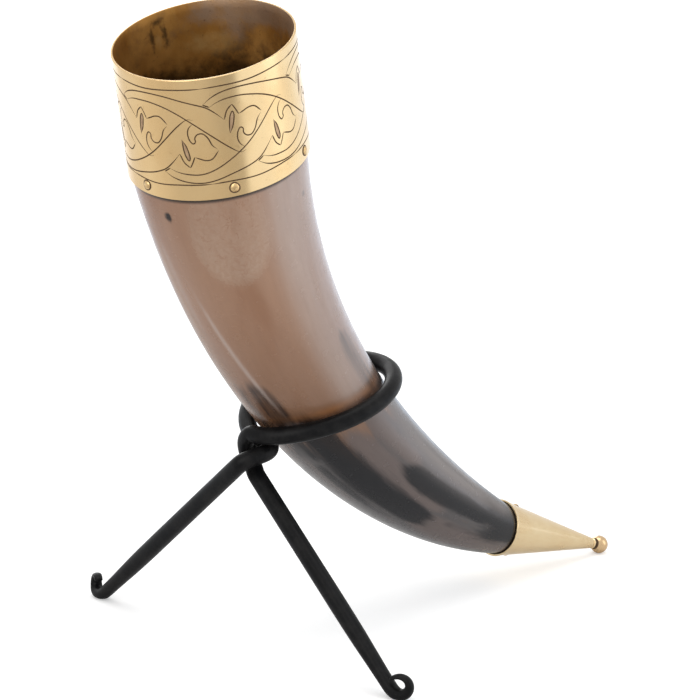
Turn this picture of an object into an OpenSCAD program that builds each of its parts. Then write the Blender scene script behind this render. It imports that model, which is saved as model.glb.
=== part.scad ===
// Drinking horn on a forged rod stand.
// A hollow cow horn has a sheet brass collar pinned round its mouth and a brass cone with a
// ball on its tip. It leans in the ring of a stand that is bent from one iron rod.
// Sizes are in millimetres and angles in degrees. Z is up and the table is z = 0. The horn
// curves in the XZ plane, with its mouth towards -X and its tip towards +X. The origin is on
// the table, midway along the object.

/* [Horn] */
// Length of bare horn along its curve, from the collar to the cone
bare_length = 214.5; // [200:0.5:230]
// Lean of the horn from upright just below the collar
top_lean = 12; // [9:0.5:15]
// Lean of the horn from upright at the ball
tip_lean = 79; // [75:0.5:82]
// Extra lean halfway along, which makes the bend tighter at the top
bow_lean = 3; // [0:0.5:5]
// Radius of the horn at the collar's lower edge
mouth_r = 30.7; // [30:0.1:32]
// Radius that the upper half of the horn is drawn towards
upper_r = 23.1; // [21:0.1:24]
// Radius that the lower half of the horn is drawn towards
lower_r = 23; // [21:0.1:24]
// Radius of the horn where it goes into the cone
tip_r = 9.8; // [9:0.1:10.6]
// Wall of the horn at its mouth
mouth_wall = 3; // [2.4:0.1:4]
// Wall of the horn near the bottom of its hollow
deep_wall = 5.5; // [4:0.1:7]
// Depth of the hollow below the collar's lower edge, along the curve
hollow_depth = 176; // [120:1:190]

/* [Collar] */
// Height of the collar along its own slope
collar_height = 42; // [34:0.5:50]
// Lean of the collar's sides from upright
collar_lean = 9; // [6:0.5:13]
// Outside radius of the collar at its rim
rim_r = 31.9; // [31:0.1:34]
// Lean of the rim's plane towards the outside of the bend
rim_lean = 17; // [12:0.5:20]
// Tilt of the rim's plane to the side
rim_tilt = 7; // [0:0.5:9]
// Thickness of the collar's sheet brass
collar_sheet = 0.8; // [0.6:0.1:1.2]
// Length of horn that stands inside the collar
collar_overlap = 12; // [9:0.5:14]
// Height of the sealing bead on the horn's cut edge
seal_size = 2.2; // [1.5:0.1:2.8]

/* [Collar pins] */
// Number of pins round the collar
collar_pins = 6; // [4:1:10]
// Angle of the first pin round the collar, from +X
first_pin_angle = 58; // [0:1:60]
// Height of the pins above the collar's lower edge
pin_rise = 3.1; // [2.6:0.1:6]
// Diameter of a collar pin's shank
pin_d = 1.6; // [1.2:0.1:2]
// Diameter of a collar pin's head
pin_head_d = 3; // [2.4:0.1:3.6]
// Height of a collar pin's head
pin_head_h = 0.7; // [0.5:0.1:1]
// Length of a collar pin below its head
pin_length = 3; // [2:0.1:3.4]

/* [Tip] */
// Length of the tip from the cone's open edge to the middle of the ball, along the curve
cone_length = 57.5; // [50:0.5:64]
// Thickness of the cone's sheet brass
cone_sheet = 0.7; // [0.5:0.1:1]
// Radius of the cone where it meets the ball
cone_end_r = 1.7; // [1.5:0.1:2]
// Length of horn inside the cone
spigot_length = 34; // [26:1:38]
// Radius of the ball on the tip
ball_r = 3.4; // [3:0.1:4]
// Radius of the peg that holds the ball
peg_r = 1.1; // [0.9:0.1:1.2]
// Number of pins round the cone
tip_pins = 2; // [2:1:4]
// Distance of the tip pins from the cone's open edge
tip_pin_rise = 7.5; // [5:0.5:10]
// Diameter of a tip pin's shank
tip_pin_d = 1.2; // [1:0.1:1.4]
// Diameter of a tip pin's head
tip_pin_head_d = 2; // [1.6:0.1:2.4]
// Length of a tip pin below its head
tip_pin_length = 4; // [3:0.1:5]

/* [Stand] */
// Diameter of the iron rod
rod_d = 6.35; // [5.5:0.05:7]
// Distance of the ring's middle from the collar's lower edge, along the horn
ring_from_collar = 103; // [96:1:110]
// Lean of the ring from level, rising towards the tip
ring_lean = 17; // [12:0.5:20]
// Clear gap between the ring and the sides of the horn
ring_gap = 0.85; // [0.7:0.05:1.5]
// Clear gap between the ring and the horn's inner and outer bend
ring_end_gap = 0.9; // [0.8:0.05:2]
// Shift of the ring towards the twist, because the horn gets wider upwards
ring_shift = 0.35; // [0.2:0.05:0.6]
// Clear gap between the two strands where they cross in the twist
twist_gap = 0.4; // [0.35:0.05:0.8]
// Slope of the line across the two strands at the top of the twist
twist_slope = 33; // [28:1:38]
// Lean of the twist from upright, outwards as it goes down
twist_lean = 31; // [28:1:35]
// Distance of the twist's middle below the ring's end
twist_sink = 2.8; // [2.2:0.1:3.4]
// Distance between the two feet where they touch the table
stand_width = 162; // [148:1:176]
// Distance that the feet stand out beyond the twist
foot_rake = 8.8; // [5:0.2:13]
// Radius of a foot's scroll where it leaves the leg
scroll_r = 9.4; // [8:0.1:10]
// Radius of a foot's scroll at its tightest
curl_r = 3.1; // [3:0.1:3.6]
// Radius of a foot's scroll at its end, which comes back to the leg
scroll_end_r = 6.5; // [5.5:0.1:8]
// Angle that the scroll turns through past its lowest point
scroll_angle = 214; // [195:1:220]
// Thickness of the rod's end, hammered thin
scroll_thin = 1.5; // [1.2:0.1:2]
// Width of the rod's end
scroll_wide = 3; // [2.4:0.1:4]
// Angle of each foot's scroll out of its leg's plane, towards the tip
foot_angle = 30; // [24:1:40]
// Depth of the flat worn on the underside of each foot
foot_flat = 0.5; // [0.4:0.05:0.6]

/* [Fits] */
// Clear gap between the brass and the horn
sheet_gap = 0.15; // [0.1:0.05:0.25]
// Clear gap round a pin and round the ball's peg
pin_gap = 0.05; // [0.03:0.01:0.1]

/* [Hidden] */
horn_sides = 48;
rod_sides = 16;
spine_steps = 108;
horn_steps = 26;
hollow_steps = 18;
ring_steps = 60;
twist_steps = 14;
scroll_steps = 22;
$fn = 48;

horn_colour = "#8f7464";
brass_colour = "#d8b774";
pin_colour = "#c2a05c";
seal_colour = "#4a3420";
iron_colour = "#2b2b2d";

// General helpers

function unit(v) = v / norm(v);
function mix(a, b, t) = a + (b - a) * t;
function ease(t) = let (c = max(0, min(1, t))) c * c * (3 - 2 * c);
function bezier(a, b, c, d, t) =
    a * pow(1 - t, 3) + 3 * b * t * pow(1 - t, 2) + 3 * c * t * t * (1 - t) + d * pow(t, 3);

// Unit vector at an angle round a section that leans towards -X and tilts towards -Y
function spoke(turn, lean, side) = [
    cos(turn) * cos(lean) - sin(turn) * sin(side) * sin(lean),
    sin(turn) * cos(side),
    cos(turn) * sin(lean) + sin(turn) * sin(side) * cos(lean)];

// Round section as a ring of points
function section(centre, lean, side, r) =
    [for (k = [0 : horn_sides - 1]) centre + r * spoke(360 * k / horn_sides, lean, side)];

// Closed skin over a row of rings. The row ends in flat caps, or joins up with its own start.
module skin(rings, joined = false) {
    count = len(rings);
    sides = len(rings[0]);
    last = joined ? count - 1 : count - 2;
    walls = [for (i = [0 : last], k = [0 : sides - 1])
        let (j = (i + 1) % count, m = (k + 1) % sides,
             a = i * sides + k, b = i * sides + m, c = j * sides + m, d = j * sides + k)
        each [[a, c, b], [a, d, c]]];
    caps = joined ? [] : [
        [for (k = [0 : sides - 1]) k],
        [for (k = [0 : sides - 1]) count * sides - 1 - k]];
    polyhedron([for (ring = rings) each ring], concat(walls, caps), convexity = 8);
}

// Stands children at a point with their z axis along a direction
module along(point, direction) {
    d = unit(direction);
    translate(point) rotate([0, acos(d.z), atan2(d.y, d.x)]) children();
}

// Centre line of the horn. u is 0 at the collar's lower edge and 1 in the middle of the ball.

function lean(u) = mix(top_lean, tip_lean, u) + bow_lean * sin(180 * u);

// The curve ends in the middle of the ball
horn_length = bare_length + cone_length;
spine_step = horn_length / spine_steps;
spine_up = [for (i = 0, p = [0, 0, 0]; i <= spine_steps;
    p = p + spine_step * [-sin(lean(1 - (i + 0.5) / spine_steps)), 0, cos(lean(1 - (i + 0.5) / spine_steps))],
    i = i + 1) p];

collar_axis = [-sin(collar_lean), 0, cos(collar_lean)];
rim_from_ball = spine_up[spine_steps] + collar_height * collar_axis;
// The ball stands so that the origin is midway between the rim's edge and the ball
ball_centre = [(rim_r * cos(rim_lean) - rim_from_ball.x - ball_r) / 2, 0, ball_r];

function spine(u) =
    let (k = (1 - u) * spine_steps, i = min(floor(k), spine_steps - 1))
    ball_centre + mix(spine_up[i], spine_up[i + 1], k - i);

// Horn

cone_u = 1 - cone_length / horn_length;
cone_base = spine(cone_u);
cone_axis = unit(ball_centre - cone_base);
cone_lean = atan2(cone_axis.x, -cone_axis.z);
cone_reach = norm(ball_centre - cone_base);

function horn_r(u) = bezier(mouth_r, upper_r, lower_r, tip_r, u / cone_u);
// Sections turn from the rim's plane at the top to square across the cone at the bottom
function mouth_share(u) = 1 - ease(2.5 * u);
function cone_share(u) = ease((u - cone_u) * 4 + 1);
function section_lean(u) = lean(u) + (rim_lean - top_lean) * mouth_share(u)
    + (cone_lean - lean(cone_u)) * cone_share(u);
function horn_section(u, r) = section(spine(u), section_lean(u), rim_tilt * mouth_share(u), r);

// Inside the collar, at a height above its lower edge
collar_in_low = mouth_r + sheet_gap;
collar_in_top = rim_r - collar_sheet;
function collar_in(v) = mix(collar_in_low, collar_in_top, v / collar_height);
function collar_centre(v) = spine(0) + v * collar_axis;
function collar_section(v, r) = section(collar_centre(v), rim_lean, rim_tilt, r);

// The hollow follows the outside, gets a thicker wall with depth and closes in a round end
hollow_u = hollow_depth / horn_length;
function hollow_r(u) =
    let (t = u / hollow_u)
    (horn_r(u) - mix(mouth_wall, deep_wall, t * t)) * sqrt(1 - pow(t, 7));

// Inside the cone, at a distance from its open edge
cone_out_base = tip_r + sheet_gap + cone_sheet;
cone_end = cone_reach - sqrt(pow(ball_r, 2) - pow(cone_end_r, 2));
cone_slope = (cone_out_base - cone_end_r) / cone_end;
function cone_out(w) = cone_out_base - cone_slope * w;
function spigot_section(w) =
    section(cone_base + w * cone_axis, cone_lean, 0, cone_out(w) - cone_sheet - sheet_gap);

module horn_body() {
    outside = concat(
        [for (w = [spigot_length, spigot_length / 2]) spigot_section(w)],
        [for (i = [horn_steps : -1 : 0]) horn_section(cone_u * i / horn_steps, horn_r(cone_u * i / horn_steps))],
        [collar_section(collar_overlap, collar_in(collar_overlap) - sheet_gap)]);
    inside = concat(
        [collar_section(collar_overlap, collar_in(collar_overlap) - sheet_gap - mouth_wall)],
        [for (i = [0 : hollow_steps])
            let (u = hollow_u * 0.998 * sin(90 * i / hollow_steps))
            horn_section(u, hollow_r(u))]);
    color(horn_colour) difference() {
        skin(concat(outside, inside));
        for (i = [1 : collar_pins]) at_collar_pin(i) pin_hole(pin_d, pin_length);
        for (i = [1 : tip_pins]) at_tip_pin(i) pin_hole(tip_pin_d, tip_pin_length);
    }
}

// Collar

module rim_collar() {
    color(brass_colour) difference() {
        skin([
            collar_section(0, collar_in_low + collar_sheet),
            collar_section(collar_height, rim_r),
            collar_section(collar_height, collar_in_top),
            collar_section(0, collar_in_low)], joined = true);
        for (i = [1 : collar_pins]) at_collar_pin(i) pin_hole(pin_d, pin_length);
    }
}

// Bead of resin in the corner between the horn's cut edge and the collar
module collar_seal() {
    low = collar_overlap + pin_gap;
    color(seal_colour) skin([
        collar_section(low, collar_in(low) - pin_gap),
        collar_section(low + seal_size, collar_in(low + seal_size) - pin_gap),
        collar_section(low, collar_in(low) - pin_gap - seal_size)], joined = true);
}

// Pins

module pin(d, head_d, head_h, length) {
    dome_r = (pow(head_d / 2, 2) + pow(head_h, 2)) / (2 * head_h);
    translate([0, 0, -length]) cylinder(d = d, h = length + head_h / 2);
    intersection() {
        cylinder(d = head_d, h = head_h);
        translate([0, 0, head_h - dome_r]) sphere(dome_r);
    }
}

module pin_hole(d, length) {
    translate([0, 0, -length - pin_gap]) cylinder(d = d + 2 * pin_gap, h = length + 2);
}

function collar_pin_turn(i) = first_pin_angle + 360 * (i - 1) / collar_pins;

// A collar pin stands square to the sheet, which slopes along the collar's own axis
module at_collar_pin(i) {
    turn = collar_pin_turn(i);
    out = spoke(turn, rim_lean, rim_tilt);
    point = collar_centre(pin_rise) + (collar_in(pin_rise) + collar_sheet) * out;
    along(point, cross(spoke(turn + 90, rim_lean, rim_tilt), collar_axis)) children();
}

module collar_pin(i) {
    color(pin_colour) at_collar_pin(i) pin(pin_d, pin_head_d, pin_head_h, pin_length);
}

// The tip pins start on the upper side of the cone
module at_tip_pin(i) {
    out = spoke(360 * (i - 1) / tip_pins, cone_lean, 0);
    point = cone_base + tip_pin_rise * cone_axis + cone_out(tip_pin_rise) * out;
    along(point, out + cone_slope * cone_axis) children();
}

module tip_pin(i) {
    color(pin_colour) at_tip_pin(i) pin(tip_pin_d, tip_pin_head_d, tip_pin_head_d / 4, tip_pin_length);
}

// Cone and ball

peg_length = ball_r;

module tip_cone() {
    hollow_end = (cone_out_base - cone_sheet - peg_r) / cone_slope;
    color(brass_colour) difference() {
        along(cone_base, cone_axis) rotate_extrude() polygon([
            [cone_out_base - cone_sheet, 0],
            [cone_out_base, 0],
            [cone_end_r, cone_end],
            [peg_r, cone_end],
            [peg_r, cone_end + peg_length],
            [0, cone_end + peg_length],
            [0, hollow_end],
            [peg_r, hollow_end]]);
        for (i = [1 : tip_pins]) at_tip_pin(i) pin_hole(tip_pin_d, tip_pin_length);
    }
}

// The ball has a socket for the peg and a flat that meets the end of the cone
module tip_ball() {
    seat = cone_reach - cone_end - pin_gap;
    color(brass_colour) along(ball_centre, -cone_axis) difference() {
        sphere(ball_r);
        translate([0, 0, seat]) cylinder(r = ball_r, h = ball_r);
        translate([0, 0, seat - peg_length]) cylinder(r = peg_r + pin_gap, h = peg_length + ball_r);
    }
}

// Stand. The rod's route is a row of stations, each with its point, a direction across the
// rod, its half width along that direction and its half thickness.

rod_r = rod_d / 2;
ring_u = ring_from_collar / horn_length;
ring_long = [cos(ring_lean), 0, sin(ring_lean)];
ring_wide = [0, 1, 0];
ring_centre = spine(ring_u) - ring_shift * ring_long;
// The horn crosses the ring aslant, so the ring is longer than it is wide
ring_a = horn_r(ring_u) / cos(lean(ring_u) - ring_lean) + ring_end_gap + rod_r;
ring_b = horn_r(ring_u) + ring_gap + rod_r;
ring_end = ring_centre - ring_a * ring_long;

// The twist is two interlocked half turns, sized so that the strands just clear each other
twist_r = 0.66 * (rod_d + twist_gap);
twist_reach = 0.63 * (rod_d + twist_gap);
twist_drop = 1.72 * (rod_d + twist_gap);
twist_across = [cos(twist_slope), 0, -sin(twist_slope)];
twist_down = [-sin(twist_lean), 0, -cos(twist_lean)];
twist_centre = ring_end + twist_sink * [0.25, 0, -1];
front_swing = twist_centre - twist_r * twist_across - ring_end;
back_swing = twist_centre + twist_r * twist_across - ring_end;

// Round the ring from the back strand at 180 to the front strand at -180. On the way to the
// twist the front strand swings out and the back strand dips under the horn.
function ring_station(turn) =
    let (front = ease((-turn - 105) / 75), back = ease((turn - 75) / 105),
         out = mix(ring_long, twist_across, front + back))
    [ring_centre + ring_a * cos(turn) * ring_long + ring_b * sin(turn) * ring_wide
         + front * front_swing + back * back_swing,
     cos(turn) * out + sin(turn) * ring_wide, rod_r, rod_r];

// Half a turn of the twist, t from 0 at the ring to 1 at the leg. The front strand starts on
// the outside and the back strand on the inside, and each hooks round the other.
function twist_station(t, front) =
    let (turn = (front ? 180 : 0) - 180 * t,
         out = twist_r * cos(turn) * twist_across + twist_reach * sin(turn) * ring_wide)
    [twist_centre + out + twist_drop * pow(t, 1.25) * twist_down,
     (front ? 1 : -1) * out, rod_r, rod_r];

// A foot's scroll, from its end on the leg through its lowest point to the end that comes
// back to the leg. The rod is hammered thinner and narrower on the way.
foot_spread = stand_width / 2;
foot_x = twist_centre.x - foot_rake;
leg_top = twist_centre.z - twist_drop;
leg_fall = atan2(leg_top, foot_spread);
function scroll_share(turn) = (turn + leg_fall) / (scroll_angle + leg_fall);
function scroll_radius(share) =
    mix(curl_r, share < 0.5 ? scroll_r : scroll_end_r, pow(abs(2 * share - 1), 3));
function thin_at(turn) = mix(0.75 * rod_r, scroll_thin / 2, scroll_share(turn));
function wide_at(turn) = mix(0.85 * rod_r, scroll_wide / 2, scroll_share(turn));
function scroll_yaw(turn) = foot_angle * ease(2.5 * scroll_share(turn));
function scroll_heading(turn, way) =
    [sin(scroll_yaw(turn)) * cos(turn), way * cos(scroll_yaw(turn)) * cos(turn), sin(turn)];

function scroll(way) =
    let (step = (scroll_angle + leg_fall) / scroll_steps,
         path = [for (i = 0, p = [0, 0, 0]; i <= scroll_steps;
             p = p + scroll_radius((i + 0.5) / scroll_steps) * step * PI / 180
                 * scroll_heading((i + 0.5) * step - leg_fall, way),
             i = i + 1) p],
         under = [for (i = [0 : scroll_steps]) path[i].z - thin_at(i * step - leg_fall)],
         low = min(under),
         foot = [foot_x, way * foot_spread - path[search(low, under)[0]].y, -low - foot_flat])
    [for (i = [0 : scroll_steps])
        let (turn = i * step - leg_fall)
        [foot + path[i], [cos(scroll_yaw(turn)), -way * sin(scroll_yaw(turn)), 0], wide_at(turn), thin_at(turn)]];

// The straight leg, from the twist to the scroll, tapers over its last stretch
function leg(top, bottom) = [for (t = [0.12, 0.45, 0.8, 0.92])
    let (share = ease((t - 0.7) / 0.3))
    [mix(top[0], bottom[0], t), mix(top[1], bottom[1], t), mix(rod_r, bottom[2], share), mix(rod_r, bottom[3], share)]];

function reversed(list) = [for (i = [len(list) - 1 : -1 : 0]) list[i]];

back_twist = [for (i = [0 : twist_steps]) twist_station(i / twist_steps, false)];
front_twist = [for (i = [0 : twist_steps]) twist_station(i / twist_steps, true)];
back_scroll = scroll(1);
front_scroll = scroll(-1);
rod_route = concat(
    reversed(back_scroll),
    reversed(leg(back_twist[twist_steps], back_scroll[0])),
    reversed(back_twist),
    [for (i = [1 : ring_steps - 1]) ring_station(180 - 360 * i / ring_steps)],
    front_twist,
    leg(front_twist[twist_steps], front_scroll[0]),
    front_scroll);

// Section of the rod across its route, worn flat where it would pass through the table
function rod_section(i) =
    let (last = len(rod_route) - 1, s = rod_route[i],
         heading = unit(rod_route[min(i + 1, last)][0] - rod_route[max(i - 1, 0)][0]),
         wide = unit(s[1] - (s[1] * heading) * heading),
         thin = cross(heading, wide))
    [for (k = [0 : rod_sides - 1])
        let (turn = 360 * k / rod_sides,
             p = s[0] + s[2] * cos(turn) * wide + s[3] * sin(turn) * thin)
        [p.x, p.y, max(p.z, 0)]];

module stand() {
    color(iron_colour) skin([for (i = [0 : len(rod_route) - 1]) rod_section(i)]);
}

horn_body();
rim_collar();
collar_seal();
for (i = [1 : collar_pins]) collar_pin(i);
tip_cone();
tip_ball();
for (i = [1 : tip_pins]) tip_pin(i);
stand();
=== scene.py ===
"""Drinking horn on a rod stand: the look of each piece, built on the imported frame."""

import math

import bmesh
import bpy
import numpy as np
from bpy.props import FloatProperty, FloatVectorProperty, IntProperty, PointerProperty
from bpy.types import NodeSocket, Operator, Panel, PropertyGroup
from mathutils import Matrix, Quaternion, Vector
from mathutils.geometry import delaunay_2d_cdt


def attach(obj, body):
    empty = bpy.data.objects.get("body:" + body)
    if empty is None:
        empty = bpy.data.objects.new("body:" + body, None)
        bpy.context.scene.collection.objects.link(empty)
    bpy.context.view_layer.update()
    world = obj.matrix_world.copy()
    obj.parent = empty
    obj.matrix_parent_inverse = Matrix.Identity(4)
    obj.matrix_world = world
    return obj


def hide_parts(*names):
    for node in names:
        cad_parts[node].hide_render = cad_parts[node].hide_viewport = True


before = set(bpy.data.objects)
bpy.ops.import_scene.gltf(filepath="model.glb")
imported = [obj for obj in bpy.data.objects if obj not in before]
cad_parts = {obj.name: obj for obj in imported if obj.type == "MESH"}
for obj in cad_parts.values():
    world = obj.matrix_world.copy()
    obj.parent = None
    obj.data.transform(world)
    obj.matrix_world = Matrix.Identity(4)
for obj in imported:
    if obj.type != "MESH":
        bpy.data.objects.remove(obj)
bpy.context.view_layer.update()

bl_info = {
    "name": "Drinking horn on a rod stand",
    "version": (1, 0, 0),
    "blender": (4, 5, 0),
    "location": "View3D > Sidebar > Drinking horn",
    "description": "Models a drinking horn with brass fittings and its iron rod stand",
    "category": "Add Mesh",
}


# Properties


def size(name, description, value):
    return FloatProperty(name=name, description=description, default=value, min=0, unit="LENGTH", precision=4)


def angle(name, description, degrees):
    return FloatProperty(name=name, description=description, default=math.radians(degrees), subtype="ANGLE")


def colour(name, description, value):
    return FloatVectorProperty(name=name, description=description, default=value, min=0, max=1, subtype="COLOR")


class HornSizes(PropertyGroup):
    length: size("Length", "Bare horn along its curve, from the collar to the cone", 0.2145)
    top_lean: angle("Top lean", "Lean of the horn just below the collar", 12)
    tip_lean: angle("Tip lean", "Lean of the horn at the ball", 79)
    bow_lean: angle("Bow", "Extra lean halfway along", 3)
    mouth_r: size("Mouth radius", "Radius at the collar's lower edge", 0.0307)
    upper_r: size("Upper radius", "Radius that the upper half is drawn towards", 0.0231)
    lower_r: size("Lower radius", "Radius that the lower half is drawn towards", 0.023)
    tip_r: size("Tip radius", "Radius where the horn goes into the cone", 0.0098)
    mouth_wall: size("Mouth wall", "Wall at the mouth", 0.003)
    deep_wall: size("Deep wall", "Wall near the bottom of the hollow", 0.0055)
    hollow: size("Hollow", "Depth of the hollow below the collar's lower edge", 0.176)


class CollarSizes(PropertyGroup):
    height: size("Height", "Height along the collar's own slope", 0.042)
    lean: angle("Lean", "Lean of the collar's sides", 9)
    rim_r: size("Rim radius", "Outside radius at the rim", 0.0319)
    rim_lean: angle("Rim lean", "Lean of the rim's plane", 17)
    rim_side: angle("Rim side", "Tilt of the rim's plane to the side", 7)
    sheet: size("Sheet", "Thickness of the sheet brass", 0.0008)
    overlap: size("Overlap", "Length of horn inside the collar", 0.012)
    seal: size("Seal", "Height of the bead of resin", 0.0022)
    gap: size("Gap", "Clear gap between brass and horn", 0.00015)
    groove_width: size("Groove width", "Width of an engraved line", 0.00046)
    groove_depth: size("Groove depth", "Depth of an engraved line", 0.0002)
    pins: IntProperty(name="Pins", description="Number of pins round the collar", default=6)
    first_pin: angle("First pin", "Turn of the first pin", 58)
    pin_rise: size("Pin rise", "Height of the pins above the lower edge", 0.0031)
    pin_head: size("Pin head", "Diameter of a pin's head", 0.003)
    pin_dome: size("Pin dome", "Height of a pin's head", 0.0007)


class TipSizes(PropertyGroup):
    length: size("Length", "From the cone's open edge to the middle of the ball", 0.0575)
    sheet: size("Sheet", "Thickness of the sheet brass", 0.0007)
    end_r: size("End radius", "Radius of the cone at the ball", 0.0017)
    spigot: size("Spigot", "Length of horn inside the cone", 0.034)
    ball_r: size("Ball radius", "Radius of the ball", 0.0034)
    pin_rise: size("Pin rise", "Distance of the pins from the open edge", 0.0075)
    pin_head: size("Pin head", "Diameter of a pin's head", 0.002)


class StandSizes(PropertyGroup):
    rod: size("Rod", "Diameter of the iron rod", 0.00635)
    ring_place: size("Ring place", "Distance of the ring from the collar along the horn", 0.103)
    ring_lean: angle("Ring lean", "Lean of the ring, rising towards the tip", 17)
    side_gap: size("Side gap", "Gap between the ring and the horn's sides", 0.00085)
    end_gap: size("End gap", "Gap between the ring and the horn's bends", 0.0009)
    ring_shift: size("Ring shift", "Shift of the ring towards the twist", 0.00035)
    twist_gap: size("Twist gap", "Gap between the strands of the twist", 0.0004)
    twist_slope: angle("Twist slope", "Slope of the line across the strands", 33)
    twist_lean: angle("Twist lean", "Lean of the twist outwards", 31)
    twist_sink: size("Twist sink", "Distance of the twist below the ring's end", 0.0028)
    width: size("Width", "Distance between the two feet where they touch the table", 0.162)
    foot_rake: size("Foot rake", "Distance of the feet beyond the twist", 0.0088)
    scroll_r: size("Scroll radius", "Radius of a foot's scroll at the leg", 0.0094)
    curl_r: size("Curl radius", "Radius of a foot's scroll at its tightest", 0.0031)
    scroll_end_r: size("Scroll end radius", "Radius of a foot's scroll at its end", 0.0065)
    scroll_turn: angle("Scroll turn", "Turn of the scroll past its lowest point", 214)
    scroll_thin: size("Scroll thickness", "Thickness of the rod's end", 0.0015)
    scroll_wide: size("Scroll width", "Width of the rod's end", 0.003)
    foot_turn: angle("Foot turn", "Turn of each scroll towards the tip", 30)
    foot_flat: size("Foot flat", "Depth of the worn flat", 0.0005)


class Finishes(PropertyGroup):
    horn_pale: colour("Horn, upper", "Taupe of the upper half", (0.285, 0.162, 0.102))
    horn_warm: colour("Horn, warm", "Warm brown clouds in the upper half", (0.235, 0.115, 0.062))
    horn_dusk: colour("Horn, near the ring", "Darker brown towards the ring", (0.165, 0.085, 0.048))
    horn_grey: colour("Horn, lower", "Grey brown of the lower half", (0.060, 0.052, 0.051))
    horn_brown: colour("Horn, bands", "Mauve brown bands between the streaks", (0.100, 0.074, 0.066))
    horn_black: colour("Horn, streaks", "Black of the streaks and the tip", (0.010, 0.010, 0.0115))
    # Painted glow: the light that comes through the wall above the ring is painted into the horn's colour
    horn_glow: colour("Horn, glow", "Light that comes through the wall above the ring", (0.30, 0.125, 0.045))
    brass: colour("Brass", "Collar and pins", (0.72, 0.508, 0.258))
    brass_tip: colour("Tip brass", "Paler brass of the cone", (0.725, 0.57, 0.345))
    brass_inside: colour("Tarnish", "Inside of the collar", (0.32, 0.146, 0.030))
    groove: colour("Grooves", "Dirt in the engraved lines and painted shade at the pins and the tip", (0.068, 0.036, 0.014))
    iron: colour("Iron", "Blackened rod", (0.0045, 0.0045, 0.005))
    resin: colour("Resin", "Bead inside the collar", (0.05, 0.026, 0.012))


class StageSizes(PropertyGroup):
    azimuth: angle("Azimuth", "Direction that the camera looks from", -42.02)
    elevation: angle("Elevation", "Height of the camera over the horizon", 12.96)
    distance: size("Distance", "Distance of the camera", 1.4)
    lens: FloatProperty(name="Lens", description="Focal length of the camera", default=201.6, unit="CAMERA")
    target: FloatVectorProperty(
        name="Target", description="Point that the camera looks at", default=(-0.0173, 0, 0.0998), subtype="XYZ")


# Shapes


def mix(a, b, t):
    return a + (b - a) * t


def ease(t):
    c = np.clip(t, 0, 1)
    return c * c * (3 - 2 * c)


def bump(t):
    """Soft hill that is 1 at 0 and 0 beyond 1."""
    return ease(1 - np.abs(t))


def unit(v):
    return v / np.linalg.norm(v, axis=-1, keepdims=True)


def bezier(a, b, c, d, t):
    return a * (1 - t) ** 3 + 3 * b * t * (1 - t) ** 2 + 3 * c * t * t * (1 - t) + d * t**3


def spoke(turn, lean, side):
    """Unit vector at an angle round a section that leans towards -X and tilts towards -Y."""
    x = np.cos(turn) * np.cos(lean) - np.sin(turn) * np.sin(side) * np.sin(lean)
    y = np.sin(turn) * np.cos(side) + 0 * lean
    z = np.cos(turn) * np.sin(lean) + np.sin(turn) * np.sin(side) * np.cos(lean)
    return np.stack([x, y, z], -1)


def turns(count):
    return np.arange(count) * 2 * np.pi / count


def apart(turn, other):
    """Degrees from one turn to another, the short way round."""
    return (turn - other + 180) % 360 - 180


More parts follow.
